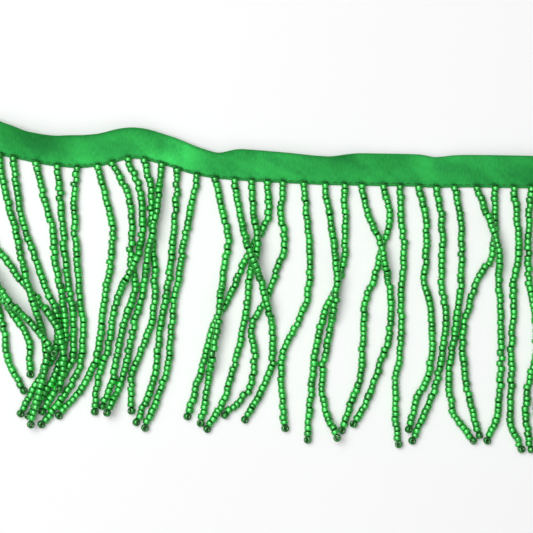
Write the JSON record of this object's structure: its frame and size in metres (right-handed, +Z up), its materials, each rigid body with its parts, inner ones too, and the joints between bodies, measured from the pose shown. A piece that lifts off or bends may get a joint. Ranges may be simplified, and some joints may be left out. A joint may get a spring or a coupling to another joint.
{
  "type": "beaded fringe trim",
  "caption": "Cut length of fringe trim: a narrow satin ribbon heading with strands of silver-lined seed beads falling from its lower edge, laid on a table.",
  "frame": {"origin": "on the ribbon's underside, where it lies flat, halfway across its width", "axes": "+X along the ribbon, -Y the way the strands fall, +Z up from the table"},
  "size_m": [0.2081, 0.1094, 0.0071],
  "materials": {
    "satin_ribbon": "satin weave, soft sheen, ribbed edges",
    "seed_beads": "clear green glass with a silver lining",
    "sewing_thread": "twisted sewing thread"
  },
  "bodies": {
    "root": {"satin_ribbon": "satin_ribbon", "bead_fringe": "seed_beads"}
  },
  "joints": []
}
